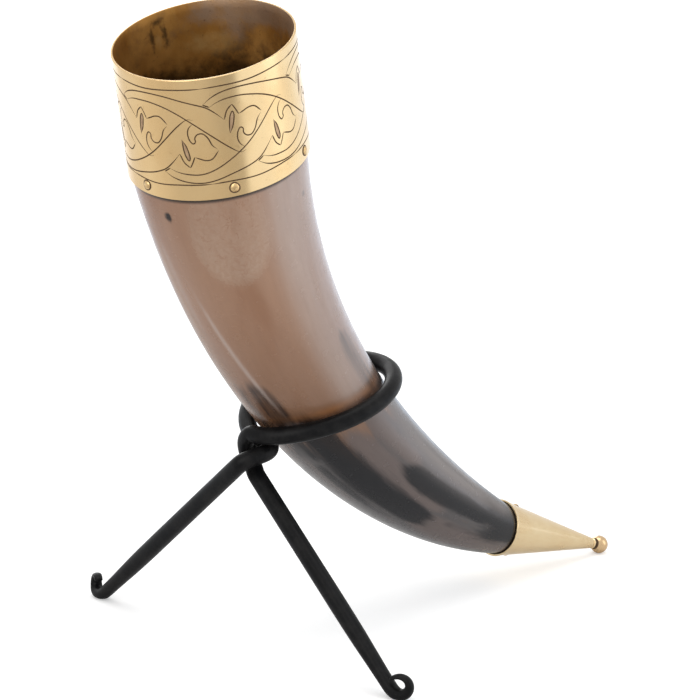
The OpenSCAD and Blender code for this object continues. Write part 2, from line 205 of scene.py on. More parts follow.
class HornCurve:
    """The horn's bent centre line and the fittings that are set out from it. u is 0 at the collar and 1 at the ball."""

    steps = 108

    def __init__(self, scene):
        self.horn, self.collar, self.tip = scene.horn_sizes, scene.collar_sizes, scene.tip_sizes
        h, c, t = self.horn, self.collar, self.tip
        self.length = h.length + t.length
        lean = self.lean(1 - (np.arange(self.steps) + 0.5) / self.steps)
        step = self.length / self.steps * np.stack([-np.sin(lean), 0 * lean, np.cos(lean)], -1)
        path = np.vstack([np.zeros(3), np.cumsum(step, 0)])
        self.collar_axis = np.array([-math.sin(c.lean), 0, math.cos(c.lean)])
        rim = path[-1] + c.height * self.collar_axis
        self.ball = np.array([(c.rim_r * math.cos(c.rim_lean) - rim[0] - t.ball_r) / 2, 0, t.ball_r])
        self.path = path[::-1] + self.ball
        self.cone_u = 1 - t.length / self.length
        self.cone_base = self.point(self.cone_u)
        self.cone_axis = unit(self.ball - self.cone_base)
        self.cone_lean = math.atan2(self.cone_axis[0], -self.cone_axis[2])
        reach = np.linalg.norm(self.ball - self.cone_base)
        self.cone_end = reach - math.sqrt(t.ball_r**2 - t.end_r**2)
        self.cone_out_base = h.tip_r + c.gap + t.sheet
        self.cone_slope = (self.cone_out_base - t.end_r) / self.cone_end
        self.hollow_u = h.hollow / self.length

    def lean(self, u):
        h = self.horn
        return mix(h.top_lean, h.tip_lean, u) + h.bow_lean * np.sin(np.pi * u)

    def point(self, u):
        k = np.asarray(u) * self.steps
        return np.stack([np.interp(k, np.arange(self.steps + 1), self.path[:, i]) for i in range(3)], -1)

    def radius(self, u):
        h = self.horn
        return bezier(h.mouth_r, h.upper_r, h.lower_r, h.tip_r, u / self.cone_u)

    def ring(self, u, r, sides):
        """Section of the horn, which turns from the rim's plane to square across the cone."""
        mouth = 1 - ease(2.5 * u)
        lean = self.lean(u) + (self.collar.rim_lean - self.horn.top_lean) * mouth
        lean += (self.cone_lean - self.lean(self.cone_u)) * ease((u - self.cone_u) * 4 + 1)
        return self.point(u) + r * spoke(turns(sides), lean, self.collar.rim_side * mouth)

    def hollow_radius(self, u):
        t = u / self.hollow_u
        return (self.radius(u) - mix(self.horn.mouth_wall, self.horn.deep_wall, t * t)) * math.sqrt(1 - t**7)

    def collar_inside(self, v):
        return mix(self.horn.mouth_r + self.collar.gap, self.collar.rim_r - self.collar.sheet, v / self.collar.height)

    def on_collar(self, turn, v, r):
        """Point on the collar at a turn, a height above its lower edge and a radius."""
        centre = self.point(0.0) + np.asarray(v)[..., None] * self.collar_axis
        return centre + np.asarray(r)[..., None] * spoke(turn, self.collar.rim_lean, self.collar.rim_side)

    def collar_normal(self, turn):
        across = spoke(turn + np.pi / 2, self.collar.rim_lean, self.collar.rim_side)
        return unit(np.cross(across, self.collar_axis))

    def collar_ring(self, v, r, sides):
        return self.on_collar(turns(sides), np.full(sides, v), np.full(sides, r))

    def cone_out(self, w):
        return self.cone_out_base - self.cone_slope * w

    def cone_ring(self, w, r, sides):
        return self.cone_base + w * self.cone_axis + r * spoke(turns(sides), self.cone_lean, 0.0)


# Modelling helpers


def deselect():
    if bpy.context.mode != "OBJECT":
        bpy.ops.object.mode_set(mode="OBJECT")
    bpy.ops.object.select_all(action="DESELECT")


def pick(obj):
    """Makes the object active and the only one that is selected."""
    deselect()
    obj.select_set(True)
    bpy.context.view_layer.objects.active = obj


def call_it(name):
    """Names the object that was just added, with its data."""
    obj = bpy.context.active_object
    obj.name = obj.data.name = name
    return obj


def place_row(row, ring):
    for vert, co in zip(row, ring):
        vert.co = co


def hoop(r, z, sides):
    """Ring of points round Z."""
    turn = turns(sides)
    return np.stack([r * np.cos(turn), r * np.sin(turn), np.full(sides, z)], -1)


def swell(sides):
    """How much larger a ring is drawn, because subdivision draws it in."""
    return 3 / (2 + math.cos(2 * math.pi / sides))


def turn_out(obj):
    """Points all normals outwards."""
    pick(obj)
    bpy.ops.object.mode_set(mode="EDIT")
    bpy.ops.mesh.select_all(action="SELECT")
    bpy.ops.mesh.normals_make_consistent(inside=False)
    bpy.ops.object.mode_set(mode="OBJECT")


def loft(name, rings, joined=False, caps=True):
    """Extrudes a circle from ring to ring, and caps its ends or bridges them."""
    deselect()
    sides = len(rings[0])
    bpy.ops.mesh.primitive_circle_add(vertices=sides, radius=1)
    obj = call_it(name)
    bpy.ops.object.mode_set(mode="EDIT")
    mesh = bmesh.from_edit_mesh(obj.data)
    row = list(mesh.verts)
    place_row(row, rings[0])
    for ring in rings[1:]:
        bpy.ops.mesh.extrude_region()
        mesh = bmesh.from_edit_mesh(obj.data)
        fresh = [v for v in mesh.verts if v.select]
        parent = {v: k for k, v in enumerate(row)}
        order = {next(parent[e.other_vert(v)] for e in v.link_edges if e.other_vert(v) in parent): v for v in fresh}
        row = [order[k] for k in range(sides)]
        place_row(row, ring)
    bpy.ops.mesh.select_mode(type="EDGE")
    bpy.ops.mesh.select_all(action="DESELECT")
    mesh = bmesh.from_edit_mesh(obj.data)
    for edge in mesh.edges:
        if edge.is_boundary:
            edge.select_set(True)
    if joined:
        bpy.ops.mesh.bridge_edge_loops()
    elif caps:
        bpy.ops.mesh.edge_face_add()
    bpy.ops.mesh.select_mode(type="VERT")
    turn_out(obj)
    return obj


def subdivide(obj, levels):
    pick(obj)
    modifier = obj.modifiers.new("Subdivision", "SUBSURF")
    modifier.levels = modifier.render_levels = levels
    bpy.ops.object.modifier_apply(modifier=modifier.name)


def smooth(obj, degrees=None):
    pick(obj)
    if degrees is None:
        bpy.ops.object.shade_smooth()
    else:
        bpy.ops.object.shade_smooth_by_angle(angle=math.radians(degrees))


def attribute(obj, name, values):
    values = np.asarray(values, np.float32)
    kind, key = ("FLOAT", "value") if values.ndim == 1 else ("FLOAT_VECTOR", "vector")
    obj.data.attributes.new(name, kind, "POINT").data.foreach_set(key, values.ravel())


def read_attribute(obj, name, width=3):
    values = np.empty(len(obj.data.vertices) * width, np.float32)
    obj.data.attributes[name].data.foreach_get("vector" if width == 3 else "value", values)
    return values.reshape(-1, width).astype(float)


def shade_faces(obj, shaded):
    """Gives the second material, as painted shade, to the faces whose centres pass the test."""
    marks = [int(shaded(np.array(face.center))) for face in obj.data.polygons]
    obj.data.polygons.foreach_set("material_index", marks)


def dress(obj, body, slot, nodes, *materials):
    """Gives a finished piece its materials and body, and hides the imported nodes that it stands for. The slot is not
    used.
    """
    for material in materials:
        obj.data.materials.append(material)
    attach(obj, body)
    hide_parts(*nodes)


# Materials


class Shades:
    """The nodes of one material or world, put together step by step."""

    def __init__(self, name, kind="materials", shader="Principled BSDF"):
        self.owner = getattr(bpy.data, kind).new(name)
        self.owner.use_nodes = True
        self.tree = self.owner.node_tree
        self.shader = self.tree.nodes[shader]

    def put(self, socket, value):
        if isinstance(value, NodeSocket):
            self.tree.links.new(value, socket)
        elif hasattr(socket.default_value, "__len__"):
            value = tuple(value)
            socket.default_value = value if len(value) == len(socket.default_value) else value + (1.0,)
        else:
            socket.default_value = value

    def add(self, kind, inputs, out=0, **settings):
        node = self.tree.nodes.new("ShaderNode" + kind)
        for key, value in settings.items():
            setattr(node, key, value)
        for key, value in inputs.items():
            self.put(node.inputs[key], value)
        return node.outputs[out]

    def named(self, name, out="Vector"):
        return self.add("Attribute", {}, out, attribute_name=name)

    def place(self):
        return self.add("TexCoord", {}, "Object")

    def stretched(self, vector, scale):
        return self.add("VectorMath", {0: vector, 1: scale}, operation="MULTIPLY")

    def noise(self, vector, scale, detail=4, roughness=0.55, out=0):
        return self.add("TexNoise", {"Vector": vector, "Scale": scale, "Detail": detail, "Roughness": roughness}, out)

    def maths(self, operation, a, b):
        return self.add("Math", {0: a, 1: b}, operation=operation)

    def plus(self, a, b):
        return self.maths("ADD", a, b)

    def times(self, a, b):
        return self.maths("MULTIPLY", a, b)

    def steps(self, value, low, high, to_low=0.0, to_high=1.0):
        return self.add(
            "MapRange", {"Value": value, "From Min": low, "From Max": high, "To Min": to_low, "To Max": to_high},
            interpolation_type="SMOOTHSTEP")

    def swing(self, noise, amount):
        """Noise that goes either side of 0."""
        return self.times(self.maths("SUBTRACT", noise, 0.5), amount)

    def painted(self, name, edge, low, high, full=1.0):
        """A painted attribute with a ragged edge."""
        return self.steps(self.plus(self.named(name, "Fac"), edge), low, high, 0, full)

    def blend(self, factor, a, b, how="MIX"):
        return self.add("Mix", {0: factor, 6: a, 7: b}, 2, data_type="RGBA", blend_type=how)

    def relief(self, height, distance, strength=1.0):
        return self.add("Bump", {"Height": height, "Distance": distance, "Strength": strength})

    def finish(self, **inputs):
        for key, value in inputs.items():
            self.put(self.shader.inputs[key.replace("_", " ")], value)
        return self.owner


def dulled(colour, by):
    return tuple(c * k for c, k in zip(colour, by))


def horn_material(f, length):
    s = Shades("Polished horn")
    grain = s.named("grain")
    along = s.add("SeparateXYZ", {0: grain}, 2)
    clouds = s.noise(s.stretched(grain, (1, 1, 0.3)), 38, 3)
    fibres = s.noise(s.stretched(grain, (1, 1, 0.05)), 430, 4, 0.6)
    wisps = s.noise(s.stretched(grain, (1, 1, 0.08)), 150, 4, 0.6)
    feather = s.plus(s.swing(wisps, 1.1), s.swing(fibres, 0.6))
    body = s.blend(s.steps(clouds, 0.40, 0.68), f.horn_pale, f.horn_warm)
    body = s.blend(s.steps(along, 0.030, 0.100, 0, 0.8), body, f.horn_dusk)
    body = s.blend(s.painted("lower", feather, 0.15, 0.85), body, f.horn_grey)
    body = s.blend(s.painted("brown", feather, 0.2, 0.9, 0.95), body, f.horn_brown)
    dark = s.painted("dark", feather, 0.22, 0.78, 0.95)
    body = s.blend(dark, body, f.horn_black)
    # Painted glow above the ring
    body = s.blend(s.times(s.named("glow", "Fac"), 0.65), body, f.horn_glow)
    drift = s.stretched(s.noise(grain, 240, 2, 0.5, "Color"), (0.006, 0.006, 0.006))
    fleck = s.noise(s.add("VectorMath", {0: grain, 1: drift}), 700, 3, 0.6)
    film = s.times(s.named("patch", "Fac"), s.steps(fleck, 0.32, 0.70, 0.45, 1.0))
    body = s.blend(s.times(film, 0.22), body, (0.56, 0.49, 0.40))
    # Painted highlights along the horn
    body = s.blend(s.times(s.named("pale", "Fac"), 0.32), body, (0.54, 0.49, 0.46))
    # Painted reflection and sheen of the lamps, lighter and cooler on the right side of the horn
    veil = s.times(s.named("veil", "Fac"), s.steps(wisps, 0.3, 0.7, 0.75, 1.0))
    body = s.blend(veil, body, (0.42, 0.354, 0.32))
    body = s.blend(0.16, body, s.blend(fibres, (0.25, 0.25, 0.25), (0.8, 0.8, 0.8)), "OVERLAY")
    # Painted shade: a dark line on the horn at the collar's lower edge and at the cone's open edge
    collar_edge_shade = s.steps(along, 0.0008, 0.0020, 0.9, 0)
    cone_edge_shade = s.steps(along, length - 0.0011, length - 0.0004, 0, 0.85)
    body = s.blend(s.maths("MAXIMUM", collar_edge_shade, cone_edge_shade), body, (0.012, 0.009, 0.008))
    rough = s.steps(s.noise(grain, 240, 3), 0.3, 0.7, 0.20, 0.28)
    rough = s.plus(rough, s.times(film, 0.16))
    gloss = s.steps(dark, 0, 0.95, 0.5, 0.26)
    return s.finish(Base_Color=body, Roughness=rough, IOR=1.45, Specular_IOR_Level=gloss,
                    Normal=s.relief(wisps, 0.00008, 0.10))


def hollow_material():
    s = Shades("Bare horn inside")
    grain = s.named("grain")
    rings = s.noise(s.stretched(grain, (0.4, 0.4, 1)), 260, 4, 0.65)
    stain = s.noise(grain, 70, 4)
    body = s.blend(s.steps(stain, 0.35, 0.7), (0.17, 0.11, 0.07), (0.06, 0.036, 0.022))
    body = s.blend(s.times(rings, 0.5), body, (0.23, 0.16, 0.11))
    return s.finish(Base_Color=body, Roughness=0.62, Normal=s.relief(rings, 0.0003, 0.5))


def brass_material(name, brass, scale=1.0, along=(1, 1, 0.12), marks=0.05):
    s = Shades(name)
    place = s.named("grain")
    cloud = s.noise(place, 55 * scale, 4)
    rub = s.noise(s.stretched(place, along), 900 * scale, 3, 0.6)
    spots = s.noise(place, 620 * scale, 2)
    body = s.blend(s.steps(cloud, 0.38, 0.68, 0, 0.7), brass, dulled(brass, (0.92, 0.87, 0.80)))
    body = s.blend(s.steps(spots, 0.66, 0.78, 0, 0.3), body, (0.36, 0.23, 0.11))
    body = s.blend(marks, body, s.blend(rub, (0.3, 0.3, 0.3), (0.7, 0.7, 0.7)), "OVERLAY")
    rough = s.plus(s.steps(cloud, 0.3, 0.7, 0.17, 0.26), s.times(rub, 0.05))
    dents = s.noise(place, 45 * scale, 2)
    height = s.plus(s.times(rub, 0.012), dents)
    return s.finish(Base_Color=body, Metallic=1.0, Roughness=rough, Normal=s.relief(height, 0.0004, 0.30))


def scooped_material():
    s = Shades("Scooped brass")
    cuts = s.noise(s.stretched(s.named("grain"), (1, 1, 0.4)), 1500, 3)
    body = s.blend(s.steps(cuts, 0.3, 0.7), (0.33, 0.205, 0.12), (0.50, 0.34, 0.20))
    return s.finish(Base_Color=body, Metallic=0.8, Roughness=0.45)


def tarnish_and_shade_material(f):
    s = Shades("Tarnish and painted shade inside")
    place = s.named("grain")
    cloud = s.noise(s.stretched(place, (1, 1, 0.6)), 70, 5, 0.6)
    specks = s.noise(place, 700, 3, 0.7)
    mottled = s.swing(s.noise(place, 130, 5, 0.62), 1.6)
    body = s.blend(s.steps(cloud, 0.36, 0.64), f.brass_inside, (0.42, 0.212, 0.055))
    body = s.blend(s.steps(mottled, -0.1, 0.35, 0, 0.55), body, (0.17, 0.085, 0.026))
    # The darker lower inside is painted shade
    for name, low, high, full, tone in (
            ("gold", 0.3, 0.95, 0.7, (0.47, 0.28, 0.10)), ("film", 0.1, 1.05, 0.8, (0.31, 0.212, 0.145)),
            ("deep", 0.15, 1.05, 0.9, (0.036, 0.016, 0.004)), ("stain", 0.45, 0.85, 0.8, (0.04, 0.021, 0.008))):
        body = s.blend(s.painted(name, mottled, low, high, full), body, tone)
    body = s.blend(s.steps(specks, 0.6, 0.75, 0, 0.4), body, (0.05, 0.028, 0.012))
    rough = s.steps(cloud, 0.3, 0.7, 0.42, 0.58)
    return s.finish(Base_Color=body, Metallic=0.7, Specular_IOR_Level=0.2, Roughness=rough,
                    Normal=s.relief(s.plus(specks, cloud), 0.00015, 0.4))


# Dirt in the engraved lines, and painted shade round the pins and in the tip's creases
def dirt_and_shade_material(f):
    if "Engraving dirt and painted shade" in bpy.data.materials:
        return bpy.data.materials["Engraving dirt and painted shade"]
    s = Shades("Engraving dirt and painted shade")
    dirt_and_shade = s.noise(s.place(), 800, 3)
    body = s.blend(s.steps(dirt_and_shade, 0.3, 0.75), f.groove, (0.13, 0.072, 0.028))
    return s.finish(Base_Color=body, Metallic=0.2, Roughness=0.65)


def pin_material(f):
    s = Shades("Filed pins")
    file_marks = s.noise(s.stretched(s.place(), (1, 0.15, 1)), 2600, 3)
    body = s.blend(s.steps(file_marks, 0.35, 0.7), f.brass, (0.50, 0.33, 0.15))
    return s.finish(Base_Color=body, Metallic=1.0, Roughness=s.steps(file_marks, 0.3, 0.7, 0.28, 0.42))


def iron_material(f):
    s = Shades("Blackened iron")
    place = s.place()
    scale = s.noise(place, 160, 5, 0.6)
    pits = s.noise(place, 1100, 3, 0.65)
    body = s.blend(s.steps(scale, 0.4, 0.72), f.iron, (0.012, 0.0115, 0.0115))
    body = s.blend(s.steps(pits, 0.62, 0.76, 0, 0.5), body, (0.024, 0.021, 0.019))
    rough = s.plus(s.steps(scale, 0.3, 0.7, 0.28, 0.42), s.times(pits, 0.08))
    height = s.plus(scale, s.times(pits, 0.25))
    return s.finish(Base_Color=body, Roughness=rough, Specular_IOR_Level=0.10, Normal=s.relief(height, 0.0004, 0.30))


def resin_material(f):
    s = Shades("Dark resin")
    lumps = s.noise(s.place(), 500, 3)
    body = s.blend(s.steps(lumps, 0.35, 0.7), f.resin, (0.09, 0.05, 0.025))
    rough = s.steps(lumps, 0.3, 0.7, 0.3, 0.5)
    return s.finish(Base_Color=body, Roughness=rough, Normal=s.relief(lumps, 0.0003, 0.5))


# Horn

# Streaks along the horn as turn at their middle, half width in degrees, start and end along the curve in mm,
# slant in degrees and strength
# The row at -66 degrees is painted shade on the right side above the ring; the other rows are the horn's own streaks
DARK_STREAKS = (
    (-134, 18, 76, 183, 12, 1.0), (-157, 7, 104, 166, 8, 0.62), (-88, 15, 122, 236, 20, 1.0),
    (-156, 13, 62, 124, 16, 0.72), (-174, 12, 64, 120, 6, 0.52), (-66, 10, 64, 114, 6, 0.66),
    (-50, 6, 112, 220, 6, 0.5), (-118, 7, 168, 202, 8, 0.4), (20, 22, 92, 196, -14, 1.0),
    (58, 9, 84, 166, 8, 0.7), (88, 20, 112, 226, 12, 0.92), (135, 16, 96, 208, -10, 0.9),
    (168, 8, 92, 156, 6, 0.6), (-20, 13, 108, 222, 10, 0.8),
)
BROWN_BANDS = (
    (-108, 15, 92, 184, 14, 1.0), (-84, 12, 92, 156, 10, 0.9), (-136, 24, 146, 238, 4, 0.95),
    (-172, 11, 92, 150, 8, 0.55), (-5, 14, 92, 170, 8, 0.8), (40, 12, 92, 176, 8, 0.8),
    (112, 12, 96, 184, 6, 0.8), (150, 12, 96, 170, 8, 0.7), (60, 16, 164, 208, 6, 0.7),
)
# Painted highlights: pale lines along the horn where the lamps are reflected
PAINTED_HIGHLIGHT_LINES = ((-163, 2.1, 22, 99, 30, 1.0), (-186, 3, 4, 64, 12, 0.3), (35, 2.6, 24, 92, -22, 0.8))
# Dark spots as turn, place along the curve and radius in mm
SPOTS = ((-172, 7, 1.7), (-67, 12, 1.5), (70, 22, 1.6))


def streak(turn, along, row, feather=0.4):
    """Soft streak along the horn, pointed at its ends."""
    centre, half, start, end, slant, strength = row
    share = (along - start) / (end - start)
    off = np.abs(apart(turn, centre + slant * (share - 0.5)))
    taper = ease(share / feather) * ease((1 - share) / feather)
    width = half * (0.3 + 0.7 * np.sqrt(np.clip(taper, 0, 1)))
    return strength * np.exp(-0.8 * (off / width) ** 3) * ease(1.6 * taper)


class DRINKING_HORN_OT_horn(Operator):
    """Add the polished cow horn with its hollow"""

    bl_idname = "drinking_horn.horn"
    bl_label = "Horn"

    def execute(self, context):
        curve = HornCurve(context.scene)
        h, c, t = curve.horn, curve.collar, curve.tip
        sides = 48
        rings, rows = [], []

        def ring(points, r, along):
            middle = points.mean(0)
            rings.append(middle + (points - middle) * swell(sides))
            rows.append(hoop(r, along, sides))

        for w in (t.spigot, t.spigot * 0.98, t.spigot * 0.5, 0.002):
            r = curve.cone_out(w) - t.sheet - c.gap
            ring(curve.cone_ring(w, r, sides), r, h.length + w)
        for u in np.linspace(curve.cone_u, 0, 44):
            ring(curve.ring(u, curve.radius(u), sides), curve.radius(u), curve.length * u)
        for v in (c.overlap * 0.5, c.overlap * 0.97, c.overlap):
            r = curve.collar_inside(v) - c.gap
            ring(curve.collar_ring(v, r, sides), r, -v)
        outside = len(rings)
        for v in (c.overlap, c.overlap * 0.97, c.overlap * 0.5):
            r = curve.collar_inside(v) - c.gap - h.mouth_wall
            ring(curve.collar_ring(v, r, sides), r, -v)
        for i in range(25):
            u = curve.hollow_u * 0.998 * math.sin(math.pi / 2 * i / 24)
            ring(curve.ring(u, curve.hollow_radius(u), sides), curve.hollow_radius(u), curve.length * u)
        obj = loft("horn", rings)
        attribute(obj, "grain", np.concatenate(rows))
        attribute(obj, "inner", np.repeat(np.arange(len(rings)) >= outside, sides))
        subdivide(obj, 2)
        self.stain(obj, RodRoute(context.scene))
        smooth(obj)
        dress(obj, "horn", "horn", ["horn_body"],
              horn_material(context.scene.horn_finishes, h.length), hollow_material())
        inner = read_attribute(obj, "inner", 1)[:, 0]
        for face in obj.data.polygons:
            face.material_index = int(min(inner[i] for i in face.vertices) > 0.5)
        return {"FINISHED"}

    def stain(self, obj, route):
        """Paints the streaks, bands and worn places as attributes, with the painted highlights, painted reflection,
        painted glow and painted shade, by degrees round the horn and mm along its curve.
        """
        horn_r = 30
        grain = read_attribute(obj, "grain")
        turn = np.degrees(np.arctan2(grain[:, 1], grain[:, 0]))
        along = grain[:, 2] * 1000
        wave = 10 * np.sin(np.radians(3 * turn + 40)) + 6 * np.sin(np.radians(5 * turn))
        lower = ease((along - 82 - wave) / 52)
        dark = np.max([streak(turn, along, row) for row in DARK_STREAKS], 0)
        dark = np.maximum(dark, 0.95 * ease((along - 172) / 34) * (1 - 0.8 * bump((turn + 140) / 42)))
        for spot_turn, spot_along, spot_r in SPOTS:
            far = np.hypot(np.radians(apart(turn, spot_turn)) * horn_r, along - spot_along)
            dark = np.maximum(dark, 0.7 * ease(1.5 - far / spot_r))
        patch = ease(4 * (1 - np.hypot(apart(turn, -131) / 31, (along - 13) / 22)))
        patch *= mix(0.6, 1, ease((along - 2) / 30))
        above = (read_attribute(obj, "position") - route.centre) @ np.cross(route.long, route.wide)
        # Painted glow on the horn just above the ring
        glow = bump((above - route.r * 1.3) / (route.r * 0.85)) * ease((np.cos(np.radians(turn + 118)) - 0.2) / 0.5)
        # Painted reflection of the lamps on the right of the upper half, and painted sheen along the right of the lower
        # half
        veil = ease((turn + 114) / 24) * ease((10 - turn) / 40)
        veil *= mix(0.6, 0.44, ease((along - 10) / 50)) * ease((106 - along) / 12)
        drift = 0.16 * np.clip(along - 130, 0, 80)
        sheen = 0.30 * bump((turn + 62 - drift) / 34) * ease((along - 98) / 14) * ease((218 - along) / 16)
        brown = np.max([streak(turn, along, row) for row in BROWN_BANDS], 0)
        pale = np.max([streak(turn, along, row, 0.6) for row in PAINTED_HIGHLIGHT_LINES], 0)
        for name, values in (("veil", np.maximum(veil, sheen)), ("lower", lower), ("dark", dark), ("brown", brown),
                             ("pale", pale), ("patch", patch), ("glow", glow * (1 - dark))):
            attribute(obj, name, values)


# Collar

# One repeat of the scroll as lines through points: turn in degrees from the vine's tip, height in mm.
# The last line is closed, and the sheet inside it is scooped out
SCROLL_LINES = (
    ((0, 33), (6, 35.2), (14, 36.7), (24, 37.2), (34, 36.6), (45, 35), (56, 33.2), (62, 31.8), (67, 29.6), (72, 26.8)),
    ((4, 31.9), (8, 33), (14, 33.9), (24, 34.2), (34, 32.8), (44, 30), (54, 26.2), (63, 22), (72, 17.6), (79, 14.9),
     (83, 15.2)),
    ((0, 33), (2, 32.5), (4, 31.9)),
    ((72, 26.8), (74.2, 29.8), (77.7, 31.7)),
    ((77.7, 31.7), (79.6, 29.9), (81.2, 28)),
    ((81.2, 28), (84.4, 28.7), (88, 29.4), (92, 29.1), (96.2, 26.6)),
    ((95.6, 26), (92.8, 24.4), (90.8, 21.8), (88, 20.1), (84.8, 20.1), (82.8, 21.3), (82.9, 22.7), (81.2, 23.3),
     (79.3, 21.9), (78.7, 19.6), (79.9, 17.7), (82.6, 16.4)),
    ((74.4, 21.8), (75.2, 26.6), (77.2, 29.2), (78.3, 28), (76.9, 24.4), (74.6, 22)),
)
# Width and start of a repeat in degrees, then the height that its mirror image is taken from and the borders in mm
SCROLL_PERIOD, SCROLL_START = 60, -15
SCROLL_MIRROR, BORDERS = 43.2, (5.4, 38.7)
# Marks inside the collar as turn and half width in degrees, then height and half height of a gold spot in mm,
# or lower end in mm and strength of a dark stain
GOLD_SPOTS = ((48, 30, 27, 9), (80.5, 6, 32, 6))
DARK_STAINS = ((85, 6, 25, 0.82), (76, 5.5, 26, 0.82), (82, 12, 34, 0.86), (84, 12, 14, 0.42), (-150, 12, 22, 0.82),
               (-95, 7, 26, 0.82))


def flowing(points, step):
    """Evenly spaced points on a smooth line through the given ones."""
    p = np.asarray(points, float)
    p = np.vstack([2 * p[0] - p[1], p, 2 * p[-1] - p[-2]])
    line = []
    for a, b, c, d in zip(p, p[1:], p[2:], p[3:]):
        t = np.linspace(0, 1, 12, endpoint=False)[:, None]
        line.append(0.5 * (2 * b + (c - a) * t + (2 * a - 5 * b + 4 * c - d) * t**2 + (3 * b - a - 3 * c + d) * t**3))
    line = np.vstack(line + [p[-2:-1]])
    far = np.concatenate([[0], np.cumsum(np.linalg.norm(np.diff(line, axis=0), axis=1))])
    even = np.linspace(0, far[-1], max(3, int(far[-1] / step) + 1))
    return np.stack([np.interp(even, far, line[:, i]) for i in range(2)], -1)


